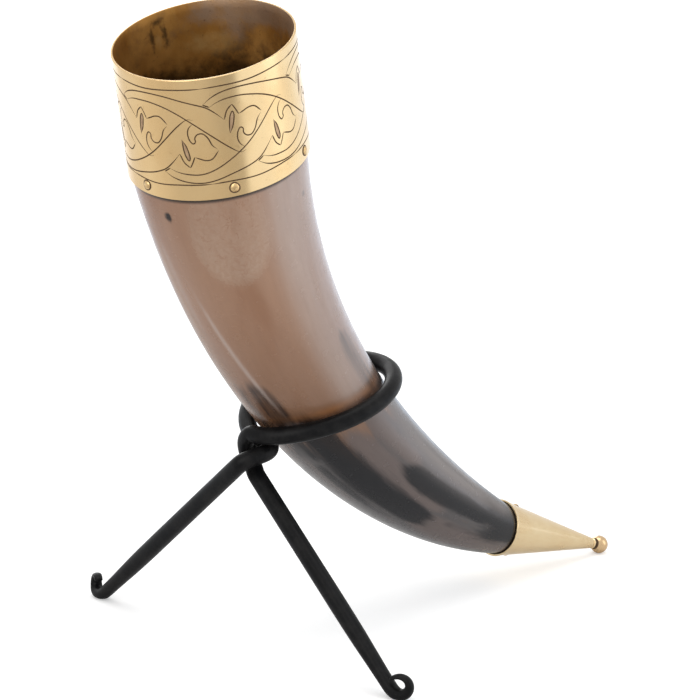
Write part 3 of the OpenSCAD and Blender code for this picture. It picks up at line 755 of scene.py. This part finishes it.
class DRINKING_HORN_OT_collar(Operator):
    """Add the brass collar with its engraved scroll"""

    bl_idname = "drinking_horn.collar"
    bl_label = "Collar"

    # Rounding of the sheet's edges, and the grid of one repeat
    edge = 0.00014
    columns, rows = 24, 21

    def execute(self, context):
        curve = HornCurve(context.scene)
        f = context.scene.horn_finishes
        obj = self.wall(curve, *self.engraved_tile(curve.collar))
        dress(obj, "horn", "collar_brass", ["rim_collar"],
              brass_material("Engraved brass", f.brass), dirt_and_shade_material(f), tarnish_and_shade_material(f), scooped_material())
        self.paint(obj, curve)
        return {"FINISHED"}

    def strokes(self, c):
        """Lines of one repeat and its neighbours, in metres along the arc and up the collar, and which are slits."""
        lines, slits = [], []
        for way in (0, 1):
            for copy in range(-2, 2):
                for points in SCROLL_LINES:
                    p = np.asarray(points, float)
                    p[:, 0] += SCROLL_PERIOD * (copy + 0.5 * way)
                    if way:
                        p[:, 1] = SCROLL_MIRROR - p[:, 1]
                    if p[:, 0].max() > -1 and p[:, 0].min() < SCROLL_PERIOD + 1:
                        slits += [len(lines)] if points is SCROLL_LINES[-1] else []
                        lines.append(p)
        lines += [np.array([(x, v) for x in np.linspace(-2, SCROLL_PERIOD + 2, 9)], float) for v in BORDERS]
        scaled = [np.stack([np.radians(p[:, 0]) * c.rim_r, p[:, 1] / 1000], -1) for p in lines]
        return [flowing(p, 0.00045) for p in scaled], slits

    def engraved_tile(self, c):
        """Triangulates one repeat of the outside so that every groove has its own edges and bottom line."""
        wide, low, high = math.radians(SCROLL_PERIOD) * c.rim_r, self.edge, c.height - self.edge
        xs, ys = np.linspace(0, wide, self.columns + 1), np.linspace(low, high, self.rows + 1)
        border = [(x, low) for x in xs] + [(wide, y) for y in ys[1:]]
        border += [(x, high) for x in xs[-2::-1]] + [(0, y) for y in ys[-2:0:-1]]
        verts = list(border)
        edges = [(i, (i + 1) % len(border)) for i in range(len(border))]
        lines, slits = self.strokes(c)
        half = c.groove_width / 2
        halves, quads, starts = [], [], []
        for line in lines:
            along = unit(np.gradient(line, axis=0))
            off = np.stack([-along[:, 1], along[:, 0]], -1)
            share = np.linspace(0, 1, len(line))
            width = half * (0.25 + 0.75 * ease(np.minimum(share, 1 - share) * 7))[:, None]
            n, first = len(line), len(verts)
            for row in (line - off * width, line, line + off * width):
                verts += [tuple(p) for p in row]
            for a in [first + k * n + i for k in range(2) for i in range(n - 1)]:
                quads.append((a, a + 1, a + n + 1, a + n))
            starts.append(first)
            halves.append(width[:, 0])
        grooves = len(quads)
        for i in slits:
            x, y = lines[i][:-1].T
            loop = [starts[i] + len(lines[i]) + k for k in range(len(x))]
            quads.append(loop[::-1] if np.sum(x * np.roll(y, -1) - y * np.roll(x, -1)) < 0 else loop)
        near, clear = np.vstack(lines), 0.0007
        for x in xs[1:-1]:
            for y in ys[1:-1]:
                if np.min(np.hypot(near[:, 0] - x, near[:, 1] - y)) > clear:
                    verts.append((x, y))
        points, _, faces, _, _, origins = delaunay_2d_cdt([Vector(v) for v in verts], edges, quads, 0, 1e-8, True)
        points = np.array([tuple(v) for v in points])
        keep, cut = [], []
        for face, origin in zip(faces, origins):
            middle = points[list(face)].mean(0)
            if 0 < middle[0] < wide and low < middle[1] < high:
                keep.append(face)
                cut.append(1 if min(origin, default=grooves) < grooves else 3 if origin else 0)
        depth = np.zeros(len(points))
        for line, width in zip(lines, halves):
            a, d = line[:-1], np.diff(line, axis=0)
            t = np.clip(((points[:, None] - a) * d).sum(-1) / (d * d).sum(-1), 0, 1)
            far = np.linalg.norm(points[:, None] - a - t[..., None] * d, axis=-1)
            w = mix(width[:-1], width[1:], t)
            depth = np.maximum(depth, np.max(np.clip(1 - far / w, 0, 1) * w / half, 1) * c.groove_depth)
        return np.column_stack([points, depth]), keep, cut

    def wall(self, curve, tile, faces, cut):
        """Repeats the engraved tile round the collar and closes it with the rim, the inside and the lower edge."""
        c = curve.collar
        copies = round(360 / SCROLL_PERIOD)
        verts, polygons = [], []
        for k in range(copies):
            turn = tile[:, 0] / c.rim_r + math.radians(SCROLL_PERIOD * k + SCROLL_START)
            v = tile[:, 1]
            r = curve.collar_inside(v) + c.sheet - tile[:, 2]
            # The engraver's hand wavers, but not at the edges
            wobble = np.clip((np.minimum(v, c.height - v) - self.edge) / 0.006, 0, 1)
            v = v + wobble * (0.00022 * np.sin(5 * turn + 1) + 0.00012 * np.sin(11 * turn))
            verts.append(curve.on_collar(turn, v, r))
            polygons += [[i + k * len(tile) for i in face] for face in faces]
        outside = bpy.data.meshes.new("collar_outside")
        outside.from_pydata(np.vstack(verts).tolist(), [], polygons)
        outside.polygons.foreach_set("material_index", np.tile(np.array(cut, np.int32), copies))
        sheet, top, e = c.sheet, c.height, self.edge
        sides = self.columns * copies
        rim = [(top - e, sheet), (top - e * 0.3, sheet - e * 0.3), (top, sheet - e), (top, e),
               (top - e * 0.3, e * 0.3), (top - e, 0)]
        inside = [(v, 0) for v in np.linspace(top, 0, 14)[1:-1]]
        foot = [(top - v, r) for v, r in rim[::-1]]
        rings = [curve.collar_ring(v, curve.collar_inside(v) + r, sides) for v, r in rim + inside + foot]
        obj = loft("collar", rings, caps=False)
        mesh = bmesh.new()
        mesh.from_mesh(obj.data)
        mesh.from_mesh(outside)
        bmesh.ops.remove_doubles(mesh, verts=mesh.verts[:], dist=2e-6)
        loose = [v for v in mesh.verts if not v.link_faces]
        bmesh.ops.delete(mesh, geom=loose, context="VERTS")
        mesh.to_mesh(obj.data)
        mesh.free()
        bpy.data.meshes.remove(outside)
        turn_out(obj)
        return obj

    def paint(self, obj, curve):
        """Marks the inside by degrees and mm, and gives the sheet between the grooves the collar's own normals."""
        c = curve.collar
        across = [spoke(np.array(turn), c.rim_lean, c.rim_side) for turn in (0.0, np.pi / 2)]
        near = read_attribute(obj, "position") - curve.point(0.0)
        x, y, v = np.linalg.solve(np.stack(across + [curve.collar_axis], 1), near.T)
        attribute(obj, "grain", np.stack([x, y, v], -1))
        r, turn = np.hypot(x, y), np.arctan2(y, x)
        degrees, high = np.degrees(turn), v * 1000
        film = ease((high - 30) / 6) * ease((82 - degrees) / 46) * ease((degrees + 150) / 30)
        strip = 0.8 * bump((degrees - 29) / 9) * ease((high - 25) / 6)
        attribute(obj, "film", np.maximum(film, strip))
        # Painted shade, darker towards the bottom of the inside
        attribute(obj, "deep", ease((32 - high) / 20))
        gold = [bump((degrees - a) / w) * bump((high - b) / tall) for a, w, b, tall in GOLD_SPOTS]
        attribute(obj, "gold", np.max(gold, 0))
        stain = [full * bump((degrees - a) / w) * ease((high - low) / 5) * ease((41 - high) / 3)
                 for a, w, low, full in DARK_STAINS]
        attribute(obj, "stain", np.max(stain, 0))
        material = np.empty(len(obj.data.polygons), np.int32)
        obj.data.polygons.foreach_get("material_index", material)
        inside_r = curve.collar_inside(v) + c.sheet * 0.25
        for face in obj.data.polygons:
            ids = list(face.vertices)
            if r[ids].mean() < inside_r[ids].mean():
                material[face.index] = 2
        obj.data.polygons.foreach_set("material_index", material)
        smooth(obj, degrees=30)
        corner_normals = np.empty(len(obj.data.loops) * 3, np.float32)
        obj.data.corner_normals.foreach_get("vector", corner_normals)
        corner_normals = corner_normals.reshape(-1, 3)
        normal = curve.collar_normal(turn)
        bottom, top = self.edge - 1e-6, c.height - self.edge + 1e-6
        for face in obj.data.polygons:
            ids = np.array(face.vertices)
            if material[face.index] in (0, 3) and v[ids].max() <= top and v[ids].min() >= bottom:
                corner_normals[face.loop_start:face.loop_start + len(ids)] = normal[ids]
        obj.data.normals_split_custom_set(corner_normals.tolist())


class DRINKING_HORN_OT_seal(Operator):
    """Add the bead of resin between the horn's cut edge and the collar"""

    bl_idname = "drinking_horn.seal"
    bl_label = "Seal"

    def execute(self, context):
        curve = HornCurve(context.scene)
        c = curve.collar
        fit, turn = 0.00008, turns(96)
        low = c.overlap + fit
        rings = []
        lump = 1 + 0.10 * np.sin(7 * turn) + 0.08 * np.sin(13 * turn + 1)
        for v, r in ((0, 0), (0.5, 0), (1, 0), (0.8, 0.28), (0.42, 0.62), (0.12, 0.95), (0, 0.98)):
            height = low + c.seal * v * np.where(v > 0.1, np.minimum(lump, 1), 1)
            inset = curve.collar_inside(height) - fit - c.seal * r * np.minimum(lump, 1)
            rings.append(curve.on_collar(turn, height, inset))
        obj = loft("collar_resin", rings, joined=True)
        smooth(obj, degrees=50)
        dress(obj, "horn", "seal_resin", ["collar_seal"], resin_material(context.scene.horn_finishes))
        return {"FINISHED"}


def make_pin(f, head, dome, shank, length):
    """Models a round pin along Z, with a domed head that is hammered a little flat and a dark ring under it, which is
    painted shade round the head.
    """
    sides, dirt_and_shade = 28, 1.3 * head
    uneven = 1 + 0.025 * np.sin(3 * turns(sides))
    rows = [(-length, shank * 0.7), (-length * 0.9, shank), (-0.0001, shank), (-0.0001, dirt_and_shade), (0.00004, dirt_and_shade),
            (0.00005, head * 0.98), (dome * 0.22, head), (dome * 0.55, head * 0.88), (dome * 0.82, head * 0.62),
            (dome * 0.95, head * 0.36), (dome, head * 0.15)]
    pin = loft("pin", [hoop(r * uneven, z, sides) for z, r in rows])
    smooth(pin, degrees=40)
    pin.data.materials.append(bpy.data.materials.get("Filed pins") or pin_material(f))
    pin.data.materials.append(dirt_and_shade_material(f))
    # The ring round the head gets the dark material as painted shade
    shade_faces(pin, lambda middle: math.hypot(middle[0], middle[1]) > head * 1.01)
    return pin


def set_pin(pin, name, node, point, out, spin):
    """Copies the pin to its place, with its head along the given direction."""
    pick(pin)
    bpy.ops.object.duplicate()
    copy = call_it(name)
    copy.location = point
    copy.rotation_euler = (Vector(out).to_track_quat("Z", "Y") @ Quaternion((0, 0, 1), spin)).to_euler()
    bpy.ops.object.transform_apply()
    dress(copy, "horn", "pin_brass", [node])


class DRINKING_HORN_OT_collar_pins(Operator):
    """Add the pins that hold the collar to the horn"""

    bl_idname = "drinking_horn.collar_pins"
    bl_label = "Collar pins"

    def execute(self, context):
        curve = HornCurve(context.scene)
        c = curve.collar
        pin = make_pin(context.scene.horn_finishes, c.pin_head / 2, c.pin_dome, shank=0.0008, length=0.003)
        for i in range(c.pins):
            turn = np.array(c.first_pin + 2 * math.pi * i / c.pins)
            v = np.array(c.pin_rise)
            point = curve.on_collar(turn, v, curve.collar_inside(v) + c.sheet)
            set_pin(pin, f"collar_pin_head_{i + 1}", f"collar_pin_{i + 1}", point, curve.collar_normal(turn), 50 * i)
        bpy.data.objects.remove(pin)
        return {"FINISHED"}


# Beaded neck between the cone and the ball: distance past the cone's end and radius in mm
NECK = ((-1.9, 1.50), (-1.7, 1.45), (-1.5, 1.95), (-1.2, 2.12), (-0.8, 2.05), (-0.6, 1.50), (-0.3, 1.28), (0.3, 1.25),
        (1.6, 1.1))


class DRINKING_HORN_OT_tip(Operator):
    """Add the brass cone and the ball on the horn's tip"""

    bl_idname = "drinking_horn.tip"
    bl_label = "Tip"

    def execute(self, context):
        curve = HornCurve(context.scene)
        t, f = curve.tip, context.scene.horn_finishes
        end, base = curve.cone_end, curve.cone_out(0)
        inner = [(w, curve.cone_out(w) - t.sheet) for w in (end * 0.62, end * 0.3, 0.0008, 0.0002)]
        lip = [(-0.0001, base - t.sheet * 0.75), (-0.00012, base - t.sheet * 0.3), (0.0, base + 0.00005),
               (0.00035, base + 0.00010), (0.0008, curve.cone_out(0.0008) + 0.00008), (0.0011, curve.cone_out(0.0011))]
        side = [(w, curve.cone_out(w)) for w in [*np.linspace(0.002, end - 0.0026, 30), end - 0.0022]]
        neck = [(end + w / 1000, r / 1000) for w, r in NECK] + [(end + t.ball_r * 0.8, 0.0009)]
        cone = self.turned("tip_cone_brass", curve, 0.0, inner + lip + side + neck, 96)
        dress(cone, "horn", "tip_brass", ["tip_cone"],
              brass_material("Rolled brass", f.brass_tip, scale=1.3, along=(1, 1, 0.04), marks=0.3), dirt_and_shade_material(f))
        # The crease where the cone meets the neck's bead gets painted shade
        shade_faces(cone, lambda middle: abs((middle - curve.cone_base) @ curve.cone_axis - end + 0.0003) < 0.0008)
        reach = np.linalg.norm(curve.ball - curve.cone_base)
        places = np.radians(np.concatenate([[3], np.linspace(8, 148, 36), [150.5, 152]]))
        profile = [(t.ball_r * math.cos(a), t.ball_r * math.sin(a) * (1 + 0.004 * math.sin(5 * a))) for a in places]
        ball = self.turned("tip_ball_brass", curve, reach, profile, 64)
        worn = dulled(f.brass_tip, (0.90, 0.83, 0.81))
        dress(ball, "horn", "tip_brass", ["tip_ball"],
              brass_material("Turned brass", worn, scale=2.2, along=(0.1, 0.1, 1)), dirt_and_shade_material(f))
        # The ball's side next to the neck gets painted shade
        shade_faces(ball, lambda middle: (middle - curve.ball) @ curve.cone_axis < -0.77 * t.ball_r)
        return {"FINISHED"}

    def turned(self, name, curve, start, profile, sides):
        """Models a round piece on the cone's axis, with its grain along it."""
        obj = loft(name, [curve.cone_ring(start + w, r, sides) for w, r in profile])
        attribute(obj, "grain", np.concatenate([hoop(r, w, sides) for w, r in profile]))
        smooth(obj, degrees=42)
        return obj


class DRINKING_HORN_OT_tip_pins(Operator):
    """Add the pins that hold the cone to the horn"""

    bl_idname = "drinking_horn.tip_pins"
    bl_label = "Tip pins"

    def execute(self, context):
        curve = HornCurve(context.scene)
        t = curve.tip
        pin = make_pin(context.scene.horn_finishes, t.pin_head / 2, t.pin_head / 4, shank=0.0006, length=0.004)
        for i in range(2):
            out = spoke(np.array(math.pi * i), curve.cone_lean, 0.0)
            point = curve.cone_base + t.pin_rise * curve.cone_axis + curve.cone_out(t.pin_rise) * out
            out = out + curve.cone_slope * curve.cone_axis
            set_pin(pin, f"tip_pin_head_{i + 1}", f"tip_pin_{i + 1}", point, out, 50 * i)
        bpy.data.objects.remove(pin)
        return {"FINISHED"}


# Stand


class RodRoute:
    """The route of the stand's one rod: rows of point, direction across, half width and half thickness."""

    def __init__(self, scene):
        s, self.curve = scene.stand_sizes, HornCurve(scene)
        self.s, self.r = s, s.rod / 2
        u = s.ring_place / self.curve.length
        radius = self.curve.radius(u)
        self.long = np.array([math.cos(s.ring_lean), 0, math.sin(s.ring_lean)])
        self.wide = np.array([0.0, 1.0, 0.0])
        self.centre = self.curve.point(u) - s.ring_shift * self.long
        self.a = radius / math.cos(self.curve.lean(u) - s.ring_lean) + s.end_gap + self.r
        self.b = radius + s.side_gap + self.r
        end = self.centre - self.a * self.long
        pitch = s.rod + s.twist_gap
        self.twist_r, self.twist_reach, self.twist_drop = 0.66 * pitch, 0.63 * pitch, 1.72 * pitch
        self.across = np.array([math.cos(s.twist_slope), 0, -math.sin(s.twist_slope)])
        self.down = np.array([-math.sin(s.twist_lean), 0, -math.cos(s.twist_lean)])
        self.twist = end + s.twist_sink * np.array([0.25, 0, -1])
        self.front_swing = self.twist - self.twist_r * self.across - end
        self.back_swing = self.twist + self.twist_r * self.across - end
        self.spread = s.width / 2
        self.fall = math.atan2(self.twist[2] - self.twist_drop, self.spread)

    def ring(self, turn):
        t = math.radians(turn)
        front, back = ease((-turn - 105) / 75), ease((turn - 75) / 105)
        point = self.centre + self.a * math.cos(t) * self.long + self.b * math.sin(t) * self.wide
        out = math.cos(t) * mix(self.long, self.across, front + back) + math.sin(t) * self.wide
        return point + front * self.front_swing + back * self.back_swing, out, self.r, self.r

    def strand(self, t, front):
        turn = (math.pi if front else 0) - math.pi * t
        out = self.twist_r * math.cos(turn) * self.across + self.twist_reach * math.sin(turn) * self.wide
        return self.twist + out + self.twist_drop * t**1.25 * self.down, (1 if front else -1) * out, self.r, self.r

    def scroll(self, way, steps=40):
        s = self.s
        step = (s.scroll_turn + self.fall) / steps
        share = np.arange(steps + 1) / steps
        turn = share * (s.scroll_turn + self.fall) - self.fall

        def yaw(t):
            return s.foot_turn * ease(2.5 * (t + self.fall) / (s.scroll_turn + self.fall))

        half = turn[:-1] + step / 2
        heading = np.stack([np.sin(yaw(half)) * np.cos(half), way * np.cos(yaw(half)) * np.cos(half), np.sin(half)], -1)
        middle = 2 * share[:-1] + 1 / steps - 1
        radius = mix(s.curl_r, np.where(middle < 0, s.scroll_r, s.scroll_end_r), np.abs(middle) ** 3)[:, None]
        path = np.vstack([np.zeros(3), np.cumsum(radius * step * heading, 0)])
        thin = mix(0.75 * self.r, s.scroll_thin / 2, share)
        wide = mix(0.85 * self.r, s.scroll_wide / 2, share)
        under = path[:, 2] - thin
        start = np.array([self.twist[0] - s.foot_rake, way * self.spread - path[under.argmin(), 1],
                          -under.min() - s.foot_flat])
        out = np.stack([np.cos(yaw(turn)), -way * np.sin(yaw(turn)), 0 * turn], -1)
        return [(start + p, o, w, t) for p, o, w, t in zip(path, out, wide, thin)]

    def leg(self, top, bottom):
        rows = []
        for t in (0.05, 0.12, 0.25, 0.4, 0.55, 0.7, 0.8, 0.88, 0.95):
            share = ease((t - 0.7) / 0.3)
            rows.append((mix(top[0], bottom[0], t), mix(unit(top[1]), bottom[1], t), mix(self.r, bottom[2], share),
                         mix(self.r, bottom[3], share)))
        return rows

    def rows(self):
        back = [self.strand(t, False) for t in np.linspace(0, 1, 29)]
        front = [self.strand(t, True) for t in np.linspace(0, 1, 29)]
        back_foot, front_foot = self.scroll(1), self.scroll(-1)
        ring = [self.ring(turn) for turn in np.linspace(180, -180, 97)[1:-1]]
        return (back_foot[::-1] + self.leg(back[-1], back_foot[0])[::-1] + back[::-1] + ring + front
                + self.leg(front[-1], front_foot[0]) + front_foot)


class DRINKING_HORN_OT_stand(Operator):
    """Add the stand that is bent from one iron rod"""

    bl_idname = "drinking_horn.stand"
    bl_label = "Stand"

    def execute(self, context):
        rows = RodRoute(context.scene).rows()
        points = np.array([row[0] for row in rows])
        heading = unit(np.vstack([points[1:2] - points[:1], points[2:] - points[:-2], points[-1:] - points[-2:-1]]))
        sides = 20
        cos, sin = hoop(1, 0, sides).T[:2, :, None]
        rings = []
        for (point, out, wide, thin), way in zip(rows, heading):
            across = unit(out - (out @ way) * way)
            ring = point + swell(sides) * (wide * cos * across + thin * sin * np.cross(way, across))
            ring[:, 2] = np.maximum(ring[:, 2], 0)
            rings.append(ring)
        for end, nxt in ((0, 1), (-1, -2)):
            middle = rings[end].mean(0)
            tip = middle + 0.35 * (middle - rings[nxt].mean(0))
            cap = tip + (rings[end] - middle) * 0.55
            rings = [cap] + rings if end == 0 else rings + [cap]
        obj = loft("rod_stand", rings)
        subdivide(obj, 1)
        smooth(obj)
        dress(obj, "stand", "stand_iron", ["stand"], iron_material(context.scene.horn_finishes))
        return {"FINISHED"}


# Stage


class DRINKING_HORN_OT_stage(Operator):
    """Add the pale floor, the soft lights and the camera"""

    bl_idname = "drinking_horn.stage"
    bl_label = "Stage"

    def execute(self, context):
        scene, stage = context.scene, context.scene.horn_stage
        scene.view_settings.view_transform = "Standard"
        self.floor()
        self.world(scene)
        for name, spot, look, wide, tall, power, tint in (
                ("Left softbox", (-1.35, -0.35, 0.75), (0, 0, 0.12), 0.9, 1.1, 8, (1, 0.985, 0.96)),
                ("Right softbox", (0.95, -1.15, 0.65), (0, 0, 0.12), 0.7, 1.2, 4, (0.96, 0.98, 1)),
                ("Right card", (0.13, -0.42, 0.22), (-0.05, 0, 0.22), 0.50, 0.44, 0.85, (0.90, 0.945, 1)),
                ("Top softbox", (-0.1, 0.1, 1.7), (0, 0, 0), 1.2, 1.2, 9, (1, 1, 1)),
                ("Back softbox", (0.6, 1.4, 0.7), (0, 0, 0.12), 0.9, 0.9, 5, (1, 1, 1))):
            deselect()
            bpy.ops.object.light_add(type="AREA", location=spot)
            lamp = call_it(name)
            lamp.data.shape, lamp.data.size, lamp.data.size_y = "RECTANGLE", wide, tall
            lamp.data.energy, lamp.data.color = power, tint
            # The card would glare in the brass
            lamp.visible_glossy = name != "Right card"
            lamp.rotation_euler = (Vector(look) - Vector(spot)).to_track_quat("-Z", "Y").to_euler()
        level = math.cos(stage.elevation)
        away = Vector((math.sin(stage.azimuth) * level, -math.cos(stage.azimuth) * level, math.sin(stage.elevation)))
        deselect()
        bpy.ops.object.camera_add(location=Vector(stage.target) + stage.distance * away)
        camera = context.active_object
        camera.rotation_euler = (-away).to_track_quat("-Z", "Y").to_euler()
        camera.data.lens, camera.data.sensor_width = stage.lens, 36
        scene.camera = camera
        return {"FINISHED"}

    def floor(self):
        """Adds the floor, which looks uneven in the brass like the room round the real table."""
        deselect()
        bpy.ops.mesh.primitive_plane_add(size=6, location=(0, 0, -0.0001))
        floor = call_it("floor")
        s = Shades("Pale floor")
        place = s.place()
        paper = s.noise(place, 30, 2)
        far = s.add("VectorMath", {0: place}, 1, operation="LENGTH")
        x, y = (s.add("SeparateXYZ", {0: place}, i) for i in range(2))
        way = s.maths("ARCTAN2", s.plus(x, 0.09), s.times(y, -1))

        def between(low, high, to_low, to_high):
            return s.steps(way, math.radians(low), math.radians(high), to_low, to_high)

        right = s.times(between(-7, -1, 0, 0.48), s.steps(far, 0.32, 0.5))
        left = between(-140, -120, 0.17, 0)
        dusk = s.plus(between(-125, -85, 0, 0.24), s.times(between(-48, -26, 0, 0.34), s.steps(far, 0.63, 0.72)))
        dusk = s.times(dusk, between(-7, -1, 1, 0))
        glossy = s.add("LightPath", {}, "Is Glossy Ray")
        shine = s.plus(s.plus(right, left), s.steps(far, 0.6, 1.6, 0, 0.5))
        seen = s.times(s.add("LightPath", {}, "Is Camera Ray"), s.steps(far, 0.4, 1.6, 0.3, 0.6))
        seen = s.plus(seen, s.times(glossy, shine))
        body = s.blend(paper, (0.90, 0.90, 0.90), (0.92, 0.92, 0.92))
        body = s.blend(s.times(glossy, dusk), body, (0, 0, 0))
        tint = s.blend(glossy, (1, 1, 1), (0.82, 1.0, 1.28))
        floor.data.materials.append(s.finish(
            Base_Color=body, Roughness=0.9, Specular_IOR_Level=0.0, Emission_Color=tint, Emission_Strength=seen))

    def world(self, scene):
        s = Shades("Studio", "worlds", "Background")
        seen = s.add("LightPath", {}, "Is Camera Ray")
        for name in ("Is Glossy Ray", "Is Transmission Ray"):
            seen = s.maths("MAXIMUM", seen, s.add("LightPath", {}, name))
        level = s.add("MapRange", {"Value": seen, "To Min": 0.5, "To Max": 1.0})
        scene.world = s.finish(Color=(1, 1, 1), Strength=level)


# Panel and registration

PIECES = (DRINKING_HORN_OT_horn, DRINKING_HORN_OT_collar, DRINKING_HORN_OT_seal, DRINKING_HORN_OT_collar_pins,
          DRINKING_HORN_OT_tip, DRINKING_HORN_OT_tip_pins, DRINKING_HORN_OT_stand, DRINKING_HORN_OT_stage)
GROUPS = (("horn_sizes", HornSizes), ("collar_sizes", CollarSizes), ("tip_sizes", TipSizes),
          ("stand_sizes", StandSizes), ("horn_finishes", Finishes), ("horn_stage", StageSizes))


class DRINKING_HORN_PT_panel(Panel):
    """Lists the pieces and their sizes"""

    bl_idname = "DRINKING_HORN_PT_panel"
    bl_label = "Drinking horn"
    bl_space_type = "VIEW_3D"
    bl_region_type = "UI"
    bl_category = "Drinking horn"

    def draw(self, context):
        for piece in PIECES:
            self.layout.operator(piece.bl_idname)
        for name, group in GROUPS:
            box = self.layout.box()
            for key in group.__annotations__:
                box.prop(getattr(context.scene, name), key)


CLASSES = tuple(group for _, group in GROUPS) + PIECES + (DRINKING_HORN_PT_panel,)


def register():
    for cls in CLASSES:
        bpy.utils.register_class(cls)
    for name, group in GROUPS:
        setattr(bpy.types.Scene, name, PointerProperty(type=group))


def unregister():
    for name, _ in GROUPS:
        delattr(bpy.types.Scene, name)
    for cls in reversed(CLASSES):
        bpy.utils.unregister_class(cls)


def main():
    register()
    for piece in PIECES:
        family, name = piece.bl_idname.split(".")
        getattr(getattr(bpy.ops, family), name)()


if __name__ == "__main__":
    main()
